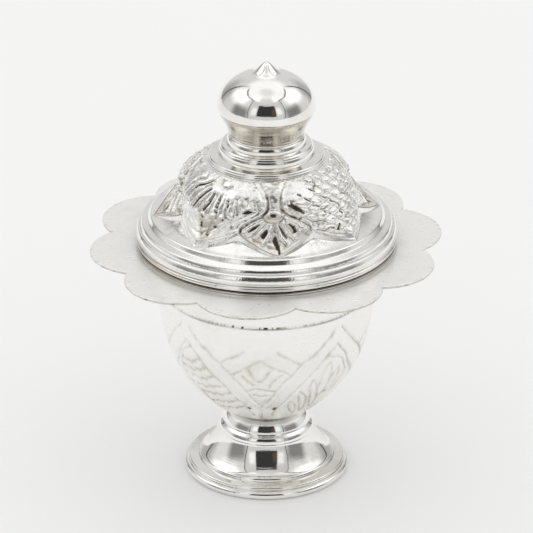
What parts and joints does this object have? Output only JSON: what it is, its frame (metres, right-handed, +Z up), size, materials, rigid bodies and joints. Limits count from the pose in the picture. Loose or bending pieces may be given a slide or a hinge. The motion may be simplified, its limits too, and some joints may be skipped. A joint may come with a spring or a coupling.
{
  "type": "kumkum box",
  "caption": "Footed silver powder box: round bowl under a scalloped flange, with a lift-off domed lid raised into flowers and lobes and topped by an onion knob.",
  "frame": {"origin": "centre of the foot ring's underside, on the surface that the box stands on", "axes": "+Z up the axis of foot, bowl and lid; -Y towards the front of the picture"},
  "size_m": [0.0554, 0.0556, 0.07],
  "materials": {
    "polished_silver": "bright polished silver, turned and burnished",
    "satin_silver": "pale satin silver, softly brushed, with brownish chased lines",
    "chased_silver": "bright raised silver with tarnish left in the hollows"
  },
  "bodies": {
    "base": {"foot_base_ring": "polished_silver", "foot_shell": "polished_silver", "foot_bead": "polished_silver", "bowl_shell": "satin_silver", "flange_plate": "satin_silver", "mouth_ring": "polished_silver"},
    "lid": {"lid_bezel": "polished_silver", "lid_guide": "polished_silver", "lid_shell": "chased_silver", "neck_collar": "polished_silver", "knob_cup": "polished_silver", "knob_dome": "polished_silver"}
  },
  "joints": [
    {"name": "lid_lift", "type": "slide", "parent": "base", "child": "lid", "axis": [0, 0, 1], "range_m": [0, 0.05]}
  ]
}
